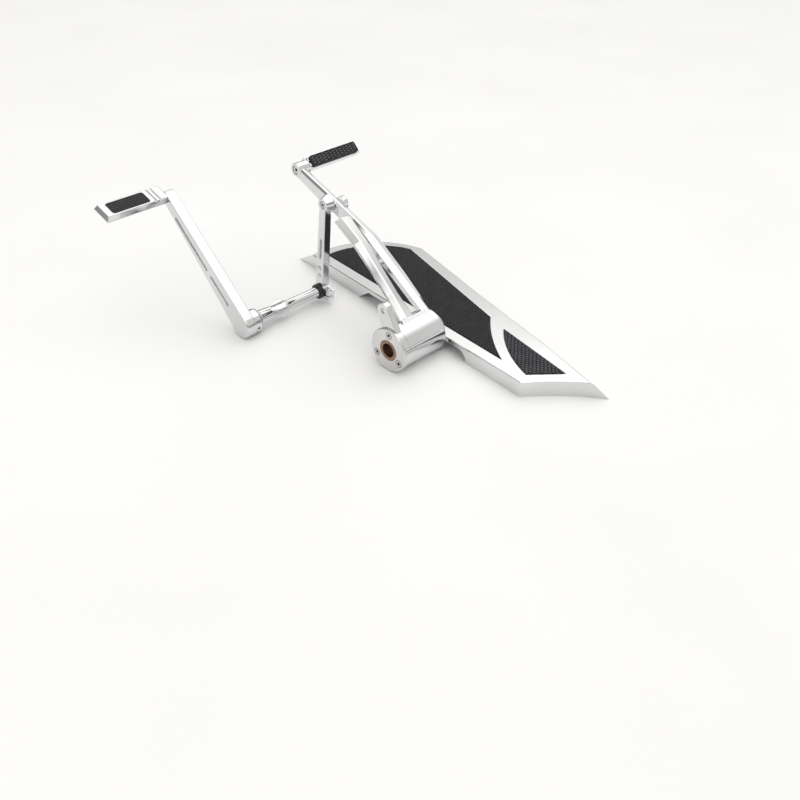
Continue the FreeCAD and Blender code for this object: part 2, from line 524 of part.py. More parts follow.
for i, angle in enumerate(screw_spots, 1):
    spot = (f"screw_circle * cos({angle} - arm_slope)", f"screw_circle * sin({angle} - arm_slope)")
    cut(arm, disc(arm, f"Tap{i}", "YZ_Plane", spot, "screw_shank + press_gap", "plate_thick - 1"),
        "screw_length - plate_thick + 2")

# Brake pad: a chrome bar on the arm's head, with a rubber block on its rear face
head_y = "(head_reach * cos(arm_slope) - head_drop * sin(arm_slope))"
head_z = "(head_reach * sin(arm_slope) + head_drop * cos(arm_slope))"
PAD = ("datum_x", f"datum_y + {head_y}", f"hub_height + {head_z}", ALONG, "pad_tilt")
base = body("brake_pad_base", PAD)
half = "foot_pad_width / 2"
pad(base, sketch(base, "Outline", "YZ_Plane", [
    (f"foot_pad_offset - {half} + 3", "foot_pad_top - foot_pad_base"),
    (f"foot_pad_offset + {half} - 3", "foot_pad_top - foot_pad_base"),
    (f"foot_pad_offset + {half}", "foot_pad_top - foot_pad_base + 3"),
    (f"foot_pad_offset + {half}", "foot_pad_top"),
    (f"foot_pad_offset - {half}", "foot_pad_top"),
    (f"foot_pad_offset - {half}", "foot_pad_top - foot_pad_base + 3")],
    {1: "3", 5: "3"}, "head_right"), "foot_pad_length")
cut(base, disc(base, "BoltHole", "YZ_Plane", ("0", "0"), "pad_bolt_radius + press_gap", "head_right - 1"),
    "pad_bolt_length - (head_right - head_left) + 2")
rubber = body("brake_pad_rubber", PAD)
pad(rubber, sketch(rubber, "Outline", "YZ_Plane", [
    (f"foot_pad_offset - {half} + 0.6", "foot_pad_top"), (f"foot_pad_offset + {half} - 0.6", "foot_pad_top"),
    (f"foot_pad_offset + {half} - 0.6", "foot_pad_top + foot_rubber_thick - 0.8"),
    (f"foot_pad_offset + {half} - 1.4", "foot_pad_top + foot_rubber_thick"),
    (f"foot_pad_offset - {half} + 1.4", "foot_pad_top + foot_rubber_thick"),
    (f"foot_pad_offset - {half} + 0.6", "foot_pad_top + foot_rubber_thick - 0.8")], None,
    "head_right + foot_rubber_start"), "foot_rubber_length")
screw("brake_pad_bolt", PAD, "head_left + 1", "pad_bolt_head_depth", "pad_bolt_length - 1", "pad_bolt_head",
      "pad_bolt_radius", "2.6")

# Bolts that hold the bracket to the deck, driven from below
for label, reach in (("bracket_bolt_1", "bolt_one"), ("bracket_bolt_2", "bolt_two")):
    place = (f"datum_x + {bracket_face} + {reach}", "datum_y", "foot_low + 0.6", V(0, 1, 0), "-90")
    screw(label, place, "0", "bolt_head_depth - 0.6", "foot_thick + 3.6", "bolt_head", "bolt_shank", "2.5")

# Toe arm, with its hub
toe = body("toe_shift_arm", TOE)
points, bulge = link("toe_length", "toe_big", "toe_small")
pad(toe, sketch(toe, "Outline", "YZ_Plane", points, bulge, "toe_face"), "toe_thick")
round_edges(toe, "toe_round", lambda e: e.BoundBox.XMax < sizes["toe_face"] + 0.01)
pad(toe, disc(toe, "Hub", "YZ_Plane", ("0", "0"), "toe_hub_radius", "toe_face + toe_thick - 1"),
    "toe_hub_end - toe_face - toe_thick + 1")
cut(toe, disc(toe, "Bore", "YZ_Plane", ("0", "0"), "shift_shaft + press_gap", "toe_bore_end"),
    "toe_hub_end - toe_bore_end + 1")
for name, start, length, lift in (("SlotOne", "slot_one", "slot_one_length", "-1"),
                                  ("SlotTwo", "slot_two", "slot_two_length", "0.5")):
    r = "slot_width / 2"
    cut(toe, sketch(toe, name, "YZ_Plane", [
        (start, f"{lift} - {r}"), (f"{start} + {length}", f"{lift} - {r} - 1.6"),
        (f"{start} + {length}", f"{lift} + {r} - 1.6"), (start, f"{lift} + {r}")],
        {1: f"{r} + 0.01", 3: f"{r} + 0.01"}, "toe_face - 1"), "slot_depth + 1")
cut(toe, disc(toe, "PegHole", "YZ_Plane", ("toe_length", "0"), "peg_bolt_radius + press_gap", "toe_face - 1"),
    "toe_thick + 2")
cut(toe, disc(toe, "PegSink", "YZ_Plane", ("toe_length", "0"), "peg_bolt_head + 0.2",
              "toe_face + toe_thick - peg_bolt_head_depth"), "peg_bolt_head_depth + 1")

# Collar, seal ring, shaft and the fixed tube that they turn in
ring("collar_o_ring", SHIFT, "toe_hub_end", "toe_hub_end + o_ring_thick", "shift_shaft + press_gap",
    "o_ring_radius")
collar_start = "toe_hub_end + o_ring_thick"
collar = turned("scalloped_collar", SHIFT, [
    (collar_start, "shift_shaft + press_gap"), ("collar_end", "shift_shaft + press_gap"),
    ("collar_end", "collar_flare - 5"), ("collar_end - 2.5", "collar_flare - 1"),
    ("collar_end - 7", "collar_flare"),
    (f"{collar_start} + 22", "collar_waist"), (f"{collar_start} + 5", "collar_neck"),
    (f"{collar_start} + 1.5", "o_ring_radius - 0.5"), (collar_start, "o_ring_radius - 0.5")],
    {4: "-42"})
for i in range(3):
    angle = f"scallop_angle + {120 * i}"
    cut(collar, disc(collar, f"Scallop{i}", "YZ_Plane",
        (f"scallop_reach * cos({angle})", f"scallop_reach * sin({angle})"),
                     "scallop_radius", f"{collar_start} + 24"), "40")
turned("shift_shaft", SHIFT, [
    ("toe_bore_end + 0.5", "0"), ("inner_face + inner_thick - 0.5", "0"),
    ("inner_face + inner_thick - 0.5", "shift_shaft - 0.6"),
    ("inner_face + inner_thick - 1.1", "shift_shaft"),
    ("toe_bore_end + 0.5", "shift_shaft")])
ring("shift_bearing_tube", SHIFT, "tube_left", "tube_right", "tube_bore", "tube_radius")
ring("tube_bush_left", SHIFT, "tube_left", "tube_left + tube_bush", "shift_shaft + running_gap",
    "tube_bore - press_gap")
ring("tube_bush_right", SHIFT, "tube_right - tube_bush", "tube_right", "shift_shaft + running_gap",
     "tube_bore - press_gap")
ring("shaft_seal", SHIFT, "seal_start", "inner_face", "shift_shaft + press_gap", "seal_radius")

# Toe peg
toe_y = "toe_length * cos(toe_angle)"
toe_z = "toe_length * sin(toe_angle)"
PEG = ("datum_x", f"datum_y + shift_forward + {toe_y}", f"shift_height + {toe_z}", ALONG, "peg_tilt")
peg = body("toe_peg", PEG)


def peg_level(name, level, width, bevel):
    return sketch(peg, name, "XY_Plane", [
        (f"peg_outer + {bevel}", f"peg_shift - {width} / 2"), ("peg_inner", f"peg_shift - {width} / 2"),
        ("peg_inner", f"peg_shift + {width} / 2"), (f"peg_outer + {bevel}", f"peg_shift + {width} / 2")],
            None, level)


loft(peg, "AdditiveLoft", [peg_level("Under", "peg_lift - peg_thick", "peg_foot", "0"),
                           peg_level("Face", "peg_lift", "peg_top", "(peg_foot - peg_top) / 2")])
pad(peg, disc(peg, "Boss", "YZ_Plane", ("0", "0"), "peg_boss", "peg_inner - peg_boss_reach"),
    "peg_boss_reach")


def inlay(grow):
    """The rubber inlay's plan, with rounded corners."""
    low = f"peg_outer + peg_rubber_start - {grow}"
    high = f"peg_outer + peg_rubber_start + peg_rubber_length + {grow}"
    near, far = f"peg_shift - peg_rubber_width / 2 - {grow}", f"peg_shift + peg_rubber_width / 2 + {grow}"
    c = "peg_corner"
    points = [(f"{low} + {c}", near), (f"{high} - {c}", near), (high, f"{near} + {c}"),
        (high, f"{far} - {c}"),
              (f"{high} - {c}", far), (f"{low} + {c}", far), (low, f"{far} - {c}"), (low, f"{near} + {c}")]
    return points, {1: c, 3: c, 5: c, 7: c}


points, bulge = inlay("0.2")
cut(peg, sketch(peg, "Seat", "XY_Plane", points, bulge, "peg_lift - peg_rubber_seat"), "peg_rubber_seat + 1")
for name, start in (("GrooveOne", "peg_groove_one"), ("GrooveTwo", "peg_groove_two")):
    cut(peg, sketch(peg, name, "XY_Plane", [
        (f"peg_outer + {start}", "peg_shift - peg_foot"),
        (f"peg_outer + {start} + peg_groove", "peg_shift - peg_foot"),
        (f"peg_outer + {start} + peg_groove", "peg_shift + peg_foot"),
        (f"peg_outer + {start}", "peg_shift + peg_foot")],
        None, "peg_lift - peg_groove_depth"), "peg_groove_depth + 1")
cut(peg, disc(peg, "BoltHole", "YZ_Plane", ("0", "0"), "peg_bolt_radius + press_gap",
    "peg_inner - peg_bolt_reach"),
    "peg_bolt_reach + 1")
item = body("toe_peg_rubber", PEG)
points, bulge = inlay("0")
pad(item, sketch(item, "Outline", "XY_Plane", points, bulge, "peg_lift - peg_rubber_seat"),
    "peg_rubber_thick")
peg_bolt_face = "toe_face + toe_thick"
item = turned("toe_peg_bolt", PEG, [
    ("peg_inner - peg_bolt_reach + 1", "0"), (f"{peg_bolt_face} - 2.4", "0"),
    (f"{peg_bolt_face} - 2.4", "2.2"),
    (f"{peg_bolt_face} - 0.3", "2.2"), (f"{peg_bolt_face} - 0.3", "peg_bolt_head"),
    (f"{peg_bolt_face} - peg_bolt_head_depth", "peg_bolt_head"),
    (f"{peg_bolt_face} - peg_bolt_head_depth", "peg_bolt_radius"),
    ("peg_inner - peg_bolt_reach + 1", "peg_bolt_radius")])

# Inner arm: a slotted stem with a split clamp on the shaft
inner = body("inner_shift_arm", INNER)
points, bulge = link("inner_length", "inner_stem_low", "inner_stem_high")
pad(inner, sketch(inner, "Stem", "YZ_Plane", points, bulge, "inner_face"), "inner_thick")
pad(inner, disc(inner, "ClampRing", "YZ_Plane", ("0", "0"), "inner_big", "inner_face"), "inner_thick")
loft(inner, "AdditiveLoft", [
    disc(inner, "TopFace", "YZ_Plane", ("inner_length", "0"), "inner_small", "inner_face"),
    disc(inner, "TopFlare", "YZ_Plane", ("inner_length", "0"), "inner_flare", "inner_face + inner_thick")])
pad(inner, sketch(inner, "Lug", "YZ_Plane", [
    ("-clamp_half", "0"), ("clamp_half + 2", "0"), ("clamp_half", "clamp_reach"),
    ("-clamp_half", "clamp_reach")],
    None, "inner_face"), "inner_thick")
cut(inner, sketch(inner, "Slit", "YZ_Plane", [
    ("-clamp_slit / 2", "shift_shaft - 1"), ("clamp_slit / 2", "shift_shaft - 1"),
    ("clamp_slit / 2", "clamp_reach + 1"),
    ("-clamp_slit / 2", "clamp_reach + 1")], None, "inner_face - 1"), "inner_thick + 2")
cut(inner, disc(inner, "Bore", "YZ_Plane", ("0", "0"), "shift_shaft + press_gap", "inner_face - 1"),
    "inner_thick + 2")
cut(inner, disc(inner, "RodHole", "YZ_Plane", ("inner_length", "0"), "rod_bolt_radius + press_gap",
    "inner_face - 1"),
    "inner_thick + 2")
cut(inner, disc(inner, "RodSink", "YZ_Plane", ("inner_length", "0"), "rod_bolt_head + 0.2", "inner_face - 1"),
    "rod_bolt_head_depth + 1")
r = "inner_slot_width / 2"
cut(inner, sketch(inner, "Slot", "YZ_Plane", [
    ("inner_slot", f"-{r}"), ("inner_slot + inner_slot_length", f"-{r}"),
    ("inner_slot + inner_slot_length", r),
    ("inner_slot", r)], {1: f"{r} + 0.01", 3: f"{r} + 0.01"}, "inner_face - 1"), "slot_depth + 1")
cut(inner, disc(inner, "Pocket", "YZ_Plane", ("inner_pocket", "0"), "inner_pocket_radius",
    "inner_face - 1"), "3.5")
cut(inner, disc(inner, "Dimple", "YZ_Plane", ("inner_dimple", "0"), "inner_dimple_radius",
    "inner_face - 1"), "2.5")
pinch_x = "inner_face + inner_thick / 2"
cut(inner, disc(inner, "PinchHole", "XZ_Plane", (pinch_x, "pinch_reach"), "pinch_radius + press_gap",
    "-(clamp_half + 3)"),
    "clamp_half * 2 + 5")
cut(inner, disc(inner, "PinchSink", "XZ_Plane", (pinch_x, "pinch_reach"), "pinch_head + 0.2",
    "-(clamp_half + 3)"),
    "4.2")
screw("shift_rod_bolt", (SHIFT[0], "datum_y + shift_forward - inner_length * sin(inner_lean)",
                         "shift_height + inner_length * cos(inner_lean)", ALONG, "0"),
      "inner_face + 0.3", "rod_bolt_head_depth - 0.3", "inner_thick - 0.6", "rod_bolt_head",
      "rod_bolt_radius", "2.2")
pinch_place = (f"datum_x + {pinch_x}", "datum_y + shift_forward - pinch_reach * cos(inner_lean)",
               "shift_height - pinch_reach * sin(inner_lean)", ALONG, "90 + inner_lean")
pinch = body("inner_arm_pinch_bolt", pinch_place)
outline = sketch(pinch, "Outline", "XY_Plane", [
    ("0", "-clamp_half + 0.5"), ("pinch_radius", "-clamp_half + 0.5"), ("pinch_radius", "clamp_half - 1"),
    ("pinch_head", "clamp_half - 1"), ("pinch_head", "clamp_half + 1.4"), ("1.8", "clamp_half + 1.4"),
    ("1.8", "clamp_half"), ("0", "clamp_half")])
turn = pinch.newObject("PartDesign::Revolution", "Revolution")
turn.Profile = outline
turn.ReferenceAxis = (outline, ["V_Axis"])
turn.Angle = 360

doc.recompute()
faults = [f"{o.Label}: {o.State}" for o in doc.Objects if "Invalid" in o.State or "Error" in o.State]
faults += [f"{o.Label}: bad shape" for o in parts if o.Shape.isNull() or not o.Shape.isValid()]
if faults:
    raise SystemExit("\n".join(faults))
os.makedirs("parts", exist_ok=True)
for item in parts:
    item.Shape.exportStep(f"parts/{item.Label}.step")
    print(item.Label, len(item.Shape.Solids), round(item.Shape.Volume))
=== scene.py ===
import json
import math
import bmesh
import bpy
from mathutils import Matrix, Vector


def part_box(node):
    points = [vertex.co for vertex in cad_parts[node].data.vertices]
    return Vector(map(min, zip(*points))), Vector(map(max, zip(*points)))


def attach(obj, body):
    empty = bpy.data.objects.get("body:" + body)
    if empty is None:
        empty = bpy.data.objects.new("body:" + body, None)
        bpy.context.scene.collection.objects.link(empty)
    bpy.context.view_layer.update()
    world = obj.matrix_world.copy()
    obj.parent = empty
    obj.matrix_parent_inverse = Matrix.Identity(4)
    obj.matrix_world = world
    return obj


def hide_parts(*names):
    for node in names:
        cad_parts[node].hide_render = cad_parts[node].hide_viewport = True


# Forward foot controls: chromed castings, rubber treads and small fasteners on a pale floor.
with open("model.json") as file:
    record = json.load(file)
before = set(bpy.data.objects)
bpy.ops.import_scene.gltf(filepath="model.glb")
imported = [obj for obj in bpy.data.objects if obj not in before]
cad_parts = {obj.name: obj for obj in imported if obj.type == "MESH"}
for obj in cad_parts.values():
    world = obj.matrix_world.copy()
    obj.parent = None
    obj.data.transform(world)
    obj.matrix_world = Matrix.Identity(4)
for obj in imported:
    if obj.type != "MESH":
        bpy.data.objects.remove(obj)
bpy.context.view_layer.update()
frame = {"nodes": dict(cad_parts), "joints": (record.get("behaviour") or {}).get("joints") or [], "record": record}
nodes = frame["nodes"]
jointPlace = {j["name"]: Vector(j["pos_m"]) for j in frame["joints"]}
print("frame:", len(nodes), "nodes")
mm = 0.001


# Node helpers
def newMaterial(name):
    material = bpy.data.materials.new(name)
    material.use_nodes = True
    tree = material.node_tree
    shader = next(n for n in tree.nodes if n.type == "BSDF_PRINCIPLED")
    return material, tree, shader


def addNode(tree, kind, **values):
    node = tree.nodes.new(kind)
    for key, value in values.items():
        if key in node.inputs:
            node.inputs[key].default_value = value
        else:
            setattr(node, key, value)
    return node


def grain(tree, scale, detail, stretch=(1, 1, 1)):
    # a noise in the piece's own metres, stretched along an axis for brushed finishes
    place = addNode(tree, "ShaderNodeTexCoord")
    spread = addNode(tree, "ShaderNodeMapping", Scale=stretch)
    noise = addNode(tree, "ShaderNodeTexNoise", Scale=scale, Detail=detail)
    tree.links.new(place.outputs["Object"], spread.inputs["Vector"])
    tree.links.new(spread.outputs["Vector"], noise.inputs["Vector"])
    return noise.outputs["Fac"]


noiseSpan = (0.3, 0.7)  # the part of a noise's range that is used


def spreadValue(tree, factor, low, high):
    remap = addNode(tree, "ShaderNodeMapRange")
    remap.inputs["From Min"].default_value, remap.inputs["From Max"].default_value = noiseSpan
    remap.inputs["To Min"].default_value = low
    remap.inputs["To Max"].default_value = high
    tree.links.new(factor, remap.inputs["Value"])
    return remap.outputs["Result"]


def tint(tree, factor, dark, light):
    ramp = addNode(tree, "ShaderNodeValToRGB")
    for element, position, colour in zip(ramp.color_ramp.elements, noiseSpan, (dark, light)):
        element.position = position
        element.color = (*colour, 1)
    tree.links.new(factor, ramp.inputs["Fac"])
    return ramp.outputs["Color"]


def softEdge(tree, radius):
    # rounds the look of every edge by this radius
    return addNode(tree, "ShaderNodeBevel", samples=6, Radius=radius).outputs["Normal"]


def relief(tree, factor, depth, strength, after):
    bump = addNode(tree, "ShaderNodeBump", Strength=strength, Distance=depth)
    tree.links.new(factor, bump.inputs["Height"])
    if after:
        tree.links.new(after, bump.inputs["Normal"])
    return bump.outputs["Normal"]


def makeFinish(name, look):
    # cloud, smear and each relief's first entry are noises: scale, detail and stretch
    material, tree, shader = newMaterial(name)
    shader.inputs["Metallic"].default_value = look["metal"]
    if "specular" in look:
        shader.inputs["Specular IOR Level"].default_value = look["specular"]
    cloud = grain(tree, *look["cloud"])
    tree.links.new(tint(tree, cloud, look["dark"], look["light"]), shader.inputs["Base Color"])
    smear = grain(tree, *look["smear"])
    tree.links.new(spreadValue(tree, smear, *look["gloss"]), shader.inputs["Roughness"])
    normal = softEdge(tree, look["edge"]) if "edge" in look else None
    for noise, depth, strength in look["relief"]:
        normal = relief(tree, grain(tree, *noise), depth, strength, normal)
    if normal:
        tree.links.new(normal, shader.inputs["Normal"])
    return material


# Finishes
chromePlate = {
    "metal": 1.0, "light": (0.74, 0.74, 0.745), "dark": (0.68, 0.68, 0.685), "cloud": (14, 3),
    "gloss": (0.04, 0.08), "smear": (90, 4), "edge": 1.4 * mm,
    "relief": (((22, 1), 0.04 * mm, 0.6), ((2400, 2), 0.004 * mm, 0.5)),
}
satinPlate = {
    "metal": 1.0, "light": (0.70, 0.70, 0.70), "dark": (0.63, 0.63, 0.63), "cloud": (30, 3),
    "gloss": (0.22, 0.32), "smear": (700, 3), "edge": 0.9 * mm,
    "relief": (((700, 3), 0.01 * mm, 0.5),),
}
bronzeBush = {
    "metal": 1.0, "light": (0.42, 0.285, 0.21), "dark": (0.20, 0.115, 0.075), "cloud": (900, 5),
    "gloss": (0.55, 0.32), "smear": (900, 5), "relief": (((900, 5), 0.04 * mm, 0.6),),
}
steelLines = (300, 2, (8, 1, 1))
steelPin = {
    "metal": 1.0, "light": (0.62, 0.62, 0.63), "dark": (0.42, 0.42, 0.43), "cloud": (40, 3),
    "gloss": (0.18, 0.34), "smear": steelLines, "relief": ((steelLines, 0.01 * mm, 0.5),),
}
screwHead = {
    "metal": 1.0, "light": (0.72, 0.72, 0.73), "dark": (0.5, 0.5, 0.5), "cloud": (300, 3),
    "gloss": (0.16, 0.3), "smear": (1500, 3), "relief": (((1500, 3), 0.01 * mm, 0.4),),
}
# painted shade: a near-black colour for the socket recesses and for the gap round the hub's screws
socketPaintedShade = {
    "metal": 0.6, "light": (0.012, 0.012, 0.013), "dark": (0.004, 0.004, 0.004),
    "cloud": (1500, 3), "gloss": (0.4, 0.6), "smear": (1500, 3), "relief": (),
}
sealRing = {
    "metal": 0.0, "light": (0.018, 0.018, 0.019), "dark": (0.008, 0.008, 0.008),
    "cloud": (200, 3), "gloss": (0.3, 0.45), "smear": (1200, 2),
    "relief": (((1200, 2), 0.01 * mm, 0.4),),
}


def makeRubber(name, look):
    shared = {"metal": 0.0, "specular": 0.35, "cloud": (60, 4), "smear": (1800, 3),
              "relief": (((1800, 3), 0.03 * mm, 0.6),)}
    return makeFinish(name, {**shared, **look})


treadBlock = {"light": (0.036, 0.036, 0.043), "dark": (0.022, 0.022, 0.027), "gloss": (0.5, 0.66)}
# darker rubber: painted shade in the tread grooves and on the blocks' lower sides, and the own black of the
# pedal's strip
stripAndGrooveShadeLook = {"light": (0.010, 0.010, 0.012), "dark": (0.005, 0.005, 0.006), "gloss": (0.6, 0.75)}
finishes = {
    "polished_chrome": makeFinish("polishedChromePlate", chromePlate),
    "satin_chrome": makeFinish("satinChromePlate", satinPlate),
    "black_rubber": makeRubber("treadRubber", treadBlock),
    "bronze": makeFinish("sinteredBronze", bronzeBush),
    "steel": makeFinish("groundSteel", steelPin),
    "black_seal": makeFinish("sealRubber", sealRing),
    "black_screw": makeFinish("screwSteel", screwHead),
}
socketShadeFinish = makeFinish("paintedShadeSocket", socketPaintedShade)
stripAndGrooveShadeFinish = makeRubber("stripAndGrooveShadeRubber", stripAndGrooveShadeLook)
nodeSlot = {row["node"]: row["material_slot"] for row in frame["record"]["subparts"]}
for name, item in nodes.items():
    item.data.materials.clear()
    item.data.materials.append(finishes[nodeSlot[name]])
print("finishes: set on", len(nodes), "nodes")

# Flat outlines, as lists of 2D points that run anticlockwise
faceSearch = {"leastUp": 0.3, "sameWay": 0.999, "sameHeight": 0.03 * mm, "merge": 0.03 * mm}
cornerRule = {"leastBend": 14, "longestShare": 0.45, "leastCosine": 0.35, "steps": 5}


def facePlane(node):
    # the outline of a pad's own face, with its axes and its upper and lower heights
    mesh = nodes[node].data
    groups = {}
    for face in mesh.polygons:
        key = tuple(round(c, 2) for c in face.normal)
        groups[key] = groups.get(key, Vector((0, 0, 0))) + face.normal * face.area
    rising = [way for way in groups.values() if way.normalized().z > faceSearch["leastUp"]]
    up = max(rising, key=lambda way: way.length).normalized()
    top = max(v.co.dot(up) for v in mesh.vertices)
    low = min(v.co.dot(up) for v in mesh.vertices)
    picked = [f for f in mesh.polygons if f.normal.dot(up) > faceSearch["sameWay"]
              and abs(f.center.dot(up) - top) < faceSearch["sameHeight"]]
    kept, spot = [], {}
    for face in picked:
        for i in face.vertices:
            here = mesh.vertices[i].co
            near = next((k for k, p in enumerate(kept) if (p - here).length < faceSearch["merge"]),
                        None)
            if near is None:
                near = len(kept)
                kept.append(here.copy())
            spot[i] = near
    ends = set()
    for face in picked:
        ring = [spot[i] for i in face.vertices]
        for a, b in zip(ring, ring[1:] + ring[:1]):
            if (b, a) in ends:
                ends.remove((b, a))
            elif a != b:
                ends.add((a, b))
    follow = dict(ends)
    loop = [next(iter(follow))]
    while follow[loop[-1]] != loop[0] and len(loop) <= len(follow):
        loop.append(follow[loop[-1]])
    points = [kept[k] for k in loop]
    longest = max(zip(points, points[1:] + points[:1]), key=lambda e: (e[1] - e[0]).length)
    along = (longest[1] - longest[0]).normalized()
    if along.x + along.y < 0:
        along = -along
    across = up.cross(along)
    flat = [Vector((p.dot(along), p.dot(across))) for p in points]
    if signedArea(flat) < 0:
        flat.reverse()
    return {"outline": flat, "along": along, "across": across, "up": up, "top": top, "low": low}


def onPlane(mesh, plane, points, height):
    # new corners at these flat points, at a height along the plane's normal
    return [mesh.verts.new(plane["along"] * p.x + plane["across"] * p.y + plane["up"] * height)
            for p in points]


def signedArea(points):
    return sum(a.x * b.y - b.x * a.y for a, b in zip(points, points[1:] + points[:1])) / 2


def inset(points, distance):
    # moves each side inward, with the corners kept on their bisectors
    moved = []
    for i, here in enumerate(points):
        a = (here - points[i - 1]).normalized()
        b = (points[(i + 1) % len(points)] - here).normalized()
        left = Vector((-a.y - b.y, a.x + b.x))
        if left.length < 1e-6:
            left = Vector((-a.y, a.x))
        left.normalize()
        cosine = max(left.dot(Vector((-a.y, a.x))), cornerRule["leastCosine"])
        moved.append(here + left * (distance / cosine))
    return moved


def roundCorners(points, radius):
    # replaces each sharp corner by a short curve
    rounded = []
    for i, here in enumerate(points):
        a, b = here - points[i - 1], points[(i + 1) % len(points)] - here
        bend = abs(a.angle(b, 0))
        if bend < math.radians(cornerRule["leastBend"]):
            rounded.append(here)
            continue
        longest = min(a.length, b.length) * cornerRule["longestShare"]
        reach = min(radius * math.tan(bend / 2), longest)
        first, last = here - a.normalized() * reach, here + b.normalized() * reach
        for k in range(cornerRule["steps"] + 1):
            t = k / cornerRule["steps"]
            rounded.append(first * (1 - t) ** 2 + here * 2 * t * (1 - t) + last * t ** 2)
    return rounded


def clipBlock(block, edges):
    # keeps what of a small block lies to the left of the outline's sides beside it
    for start, stop in edges:
        side = stop - start
        kept = []
        for p, q in zip(block, block[1:] + block[:1]):
            inP = side.x * (p.y - start.y) - side.y * (p.x - start.x) >= 0
            inQ = side.x * (q.y - start.y) - side.y * (q.x - start.x) >= 0
            if inP:
                kept.append(p)
            if inP != inQ:
                way = q - p
                under = side.x * way.y - side.y * way.x
                t = (side.y * (p.x - start.x) - side.x * (p.y - start.y)) / under
                kept.append(p + way * t)
        block = kept
        if len(block) < 3:
            return []
    return block


def nearSides(sides, centre, reach):
    found = []
    for start, stop in sides:
        way = stop - start
        t = max(0, min(1, (centre - start).dot(way) / way.length_squared))
        if (start + way * t - centre).length < reach:
            found.append((start, stop))
    return found


def inside(points, spot):
    hit = False
    for a, b in zip(points, points[1:] + points[:1]):
        if (a.y > spot.y) != (b.y > spot.y):
            if spot.x < (b.x - a.x) * (spot.y - a.y) / (b.y - a.y) + a.x:
                hit = not hit
    return hit


def crossedBlocks(outline, look):
    # diamonds between two crossing sets of parallel grooves
    turns = [math.radians(look["lean"]), math.radians(-look["lean"])]
    first, second = [Vector((-math.sin(t), math.cos(t))) for t in turns]
    ranges = []
    for normal in (first, second):
        spans = [p.dot(normal) / look["pitch"] for p in outline]
        ranges.append(range(math.floor(min(spans)) - 1, math.ceil(max(spans)) + 1))
    det = first.x * second.y - first.y * second.x
    half = look["groove"] / 2
    for i in ranges[0]:
        for j in ranges[1]:
            corners = []
            for s, t in ((0, 0), (1, 0), (1, 1), (0, 1)):
                p = (i + s) * look["pitch"] + (half if s == 0 else -half)
                q = (j + t) * look["pitch"] + (half if t == 0 else -half)
                corners.append(Vector(((p * second.y - first.y * q) / det,
                                       (first.x * q - p * second.x) / det)))
            if signedArea(corners) < 0:
                corners.reverse()
            yield corners


def steppedBlocks(outline, look):
    # short bricks in columns, each column half a row off the last
    lowX, highX = min(p.x for p in outline), max(p.x for p in outline)
    lowY, highY = min(p.y for p in outline), max(p.y for p in outline)
    half, row, skew = look["groove"] / 2, look["row"], look["skew"]
    columns = round((highX - lowX) / look["pitch"])
    wide = (highX - lowX) / columns
    rows = math.ceil((highY - lowY) / row) + 1
    for i in range(columns):
        x = lowX + i * wide
        for j in range(-rows, rows + 1):
            y = (lowY + highY) / 2 + (j + (0.5 if i % 2 else 0)) * row
            yield [Vector((x + half, y - row / 2 + half)),
                   Vector((x + wide - half, y - row / 2 + half + skew)),
                   Vector((x + wide - half, y + row / 2 - half + skew)),
                   Vector((x + half, y + row / 2 - half))]


def joinRings(mesh, lower, upper, finish=0):
    for i in range(len(lower)):
        k = (i + 1) % len(lower)
        mesh.faces.new((lower[i], lower[k], upper[k], upper[i])).material_index = finish


def settle(mesh, name, body, looks):
    # turns the built faces into a piece that rides on a body
    data = bpy.data.meshes.new(name)
    bmesh.ops.recalc_face_normals(mesh, faces=mesh.faces)
    mesh.to_mesh(data)
    mesh.free()
    for look in looks:
        data.materials.append(look)
    piece = bpy.data.objects.new(name, data)
    bpy.context.scene.collection.objects.link(piece)
    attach(piece, body)
    return piece


# Rubber treads: a slab with a softened edge, and blocks that stand on its sunk floor, with painted shade on the
# floor and on the blocks' lower sides
rimShape = {"lip": 0.3 * mm, "drop": 0.2 * mm, "slope": 0.25 * mm, "gap": 0.45 * mm,
            "bareGap": 0.1 * mm, "steps": 3}
# reach is in pitches and the rest in bevels
blockShape = {"reach": 1.3, "waistIn": 0.5, "waistDown": 0.9, "crownIn": 1.3}


